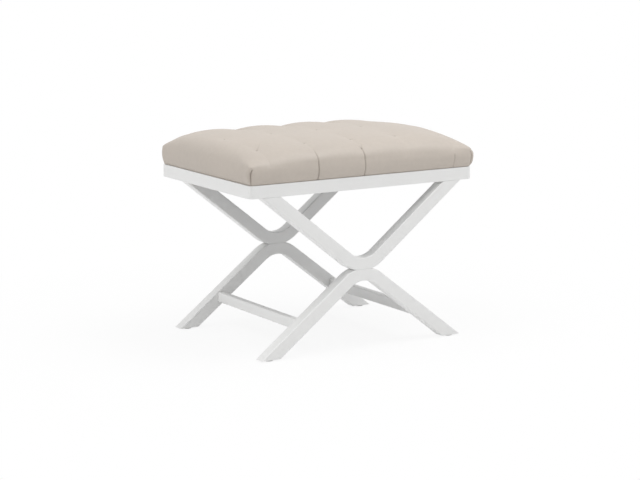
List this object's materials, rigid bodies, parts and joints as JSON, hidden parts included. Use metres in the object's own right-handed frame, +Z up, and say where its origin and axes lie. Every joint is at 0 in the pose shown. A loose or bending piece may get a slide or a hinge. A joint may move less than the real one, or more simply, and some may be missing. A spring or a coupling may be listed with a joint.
{
  "type": "tufted bench",
  "caption": "Rectangular bench with a tufted leather cushion on a painted apron, carried by crossed bow frames that low stretchers join.",
  "frame": {"origin": "on the floor, under the middle of the bench", "axes": "+X along the bench to its right end, +Y towards its back, +Z up"},
  "size_m": [0.6212, 0.4392, 0.502],
  "materials": {
    "white_paint": "white lacquer on solid wood, satin",
    "bare_wood": "planed, unfinished",
    "plywood": "sanded, unfinished",
    "zinced_steel": "zinc plated",
    "nylon": "moulded, matt",
    "greige_leather": "soft fine-grained leather, low sheen",
    "foam": "open-cell foam",
    "black_cloth": "non-woven cloth, matt",
    "twine": "twisted, waxed"
  },
  "bodies": {
    "root": {"front_upper_bow": "white_paint", "front_lower_bow": "white_paint", "back_upper_bow": "white_paint", "back_lower_bow": "white_paint", "front_rail": "white_paint", "back_rail": "white_paint", "left_rail": "white_paint", "right_rail": "white_paint", "left_stretcher": "white_paint", "right_stretcher": "white_paint", "front_waist_dowel_left": "bare_wood", "front_waist_dowel_right": "bare_wood", "back_waist_dowel_left": "bare_wood", "back_waist_dowel_right": "bare_wood", "arm_dowel_front_left": "bare_wood", "arm_dowel_front_right": "bare_wood", "arm_dowel_back_left": "bare_wood", "arm_dowel_back_right": "bare_wood", "arm_screw_front_left": "zinced_steel", "arm_screw_front_right": "zinced_steel", "arm_screw_back_left": "zinced_steel", "arm_screw_back_right": "zinced_steel", "corner_block_front_left": "bare_wood", "corner_block_front_right": "bare_wood", "corner_block_back_left": "bare_wood", "corner_block_back_right": "bare_wood", "seat_screw_front_left": "zinced_steel", "seat_screw_front_right": "zinced_steel", "seat_screw_back_left": "zinced_steel", "seat_screw_back_right": "zinced_steel", "foot_glide_front_left": "nylon", "foot_glide_front_right": "nylon", "foot_glide_back_left": "nylon", "foot_glide_back_right": "nylon", "seat_board": "plywood", "seat_foam": "foam", "tufted_cover": "greige_leather", "dust_cover": "black_cloth", "tuft_tie_1_1": "twine", "tuft_tie_1_2": "twine", "tuft_tie_1_3": "twine", "tuft_tie_1_4": "twine", "tuft_tie_1_5": "twine", "tuft_tie_2_1": "twine", "tuft_tie_2_2": "twine", "tuft_tie_2_3": "twine", "tuft_tie_2_4": "twine", "tuft_tie_2_5": "twine", "tuft_tie_3_1": "twine", "tuft_tie_3_2": "twine", "tuft_tie_3_3": "twine", "tuft_tie_3_4": "twine", "tuft_tie_3_5": "twine"}
  },
  "joints": []
}
